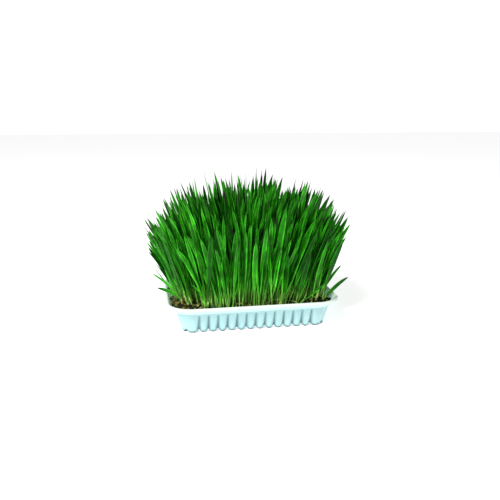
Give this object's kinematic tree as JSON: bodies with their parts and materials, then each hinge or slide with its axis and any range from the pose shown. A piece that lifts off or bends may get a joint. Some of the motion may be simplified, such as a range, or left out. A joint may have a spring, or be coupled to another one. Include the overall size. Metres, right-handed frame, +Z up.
{
  "type": "wheatgrass tray",
  "caption": "Wheatgrass seedlings fanning out of a bed of soil in a shallow white plastic tray with fluted walls and a flared rim.",
  "frame": {"origin": "middle of the underside of the tray's floor, on the surface that the tray stands on", "axes": "+X along the tray's length, -Y towards the front, +Z up"},
  "size_m": [0.24, 0.1779, 0.1742],
  "materials": {
    "tray": "thin formed white plastic with a cool tint, soft gloss, slightly translucent",
    "soil": "damp dark potting mix with grains, husks and fine roots",
    "sprouts": "fresh green leaf blades, satin, pale at the foot and darker at the tip"
  },
  "bodies": {
    "root": {"tray": "tray", "soil": "soil", "sprouts_01": "sprouts", "sprouts_02": "sprouts", "sprouts_03": "sprouts", "sprouts_04": "sprouts", "sprouts_05": "sprouts", "sprouts_06": "sprouts", "sprouts_07": "sprouts", "sprouts_08": "sprouts", "sprouts_09": "sprouts", "sprouts_10": "sprouts", "sprouts_11": "sprouts", "sprouts_12": "sprouts", "sprouts_13": "sprouts", "sprouts_14": "sprouts", "sprouts_15": "sprouts", "sprouts_16": "sprouts", "sprouts_17": "sprouts", "sprouts_18": "sprouts", "sprouts_19": "sprouts", "sprouts_20": "sprouts", "sprouts_21": "sprouts", "sprouts_22": "sprouts", "sprouts_23": "sprouts", "sprouts_24": "sprouts", "sprouts_25": "sprouts", "sprouts_26": "sprouts", "sprouts_27": "sprouts", "sprouts_28": "sprouts", "sprouts_29": "sprouts", "sprouts_30": "sprouts", "sprouts_31": "sprouts", "sprouts_32": "sprouts", "sprouts_33": "sprouts", "sprouts_34": "sprouts", "sprouts_35": "sprouts", "sprouts_36": "sprouts", "sprouts_37": "sprouts", "sprouts_38": "sprouts", "sprouts_39": "sprouts", "sprouts_40": "sprouts", "sprouts_41": "sprouts", "sprouts_42": "sprouts", "sprouts_43": "sprouts", "sprouts_44": "sprouts", "sprouts_45": "sprouts"}
  },
  "joints": []
}
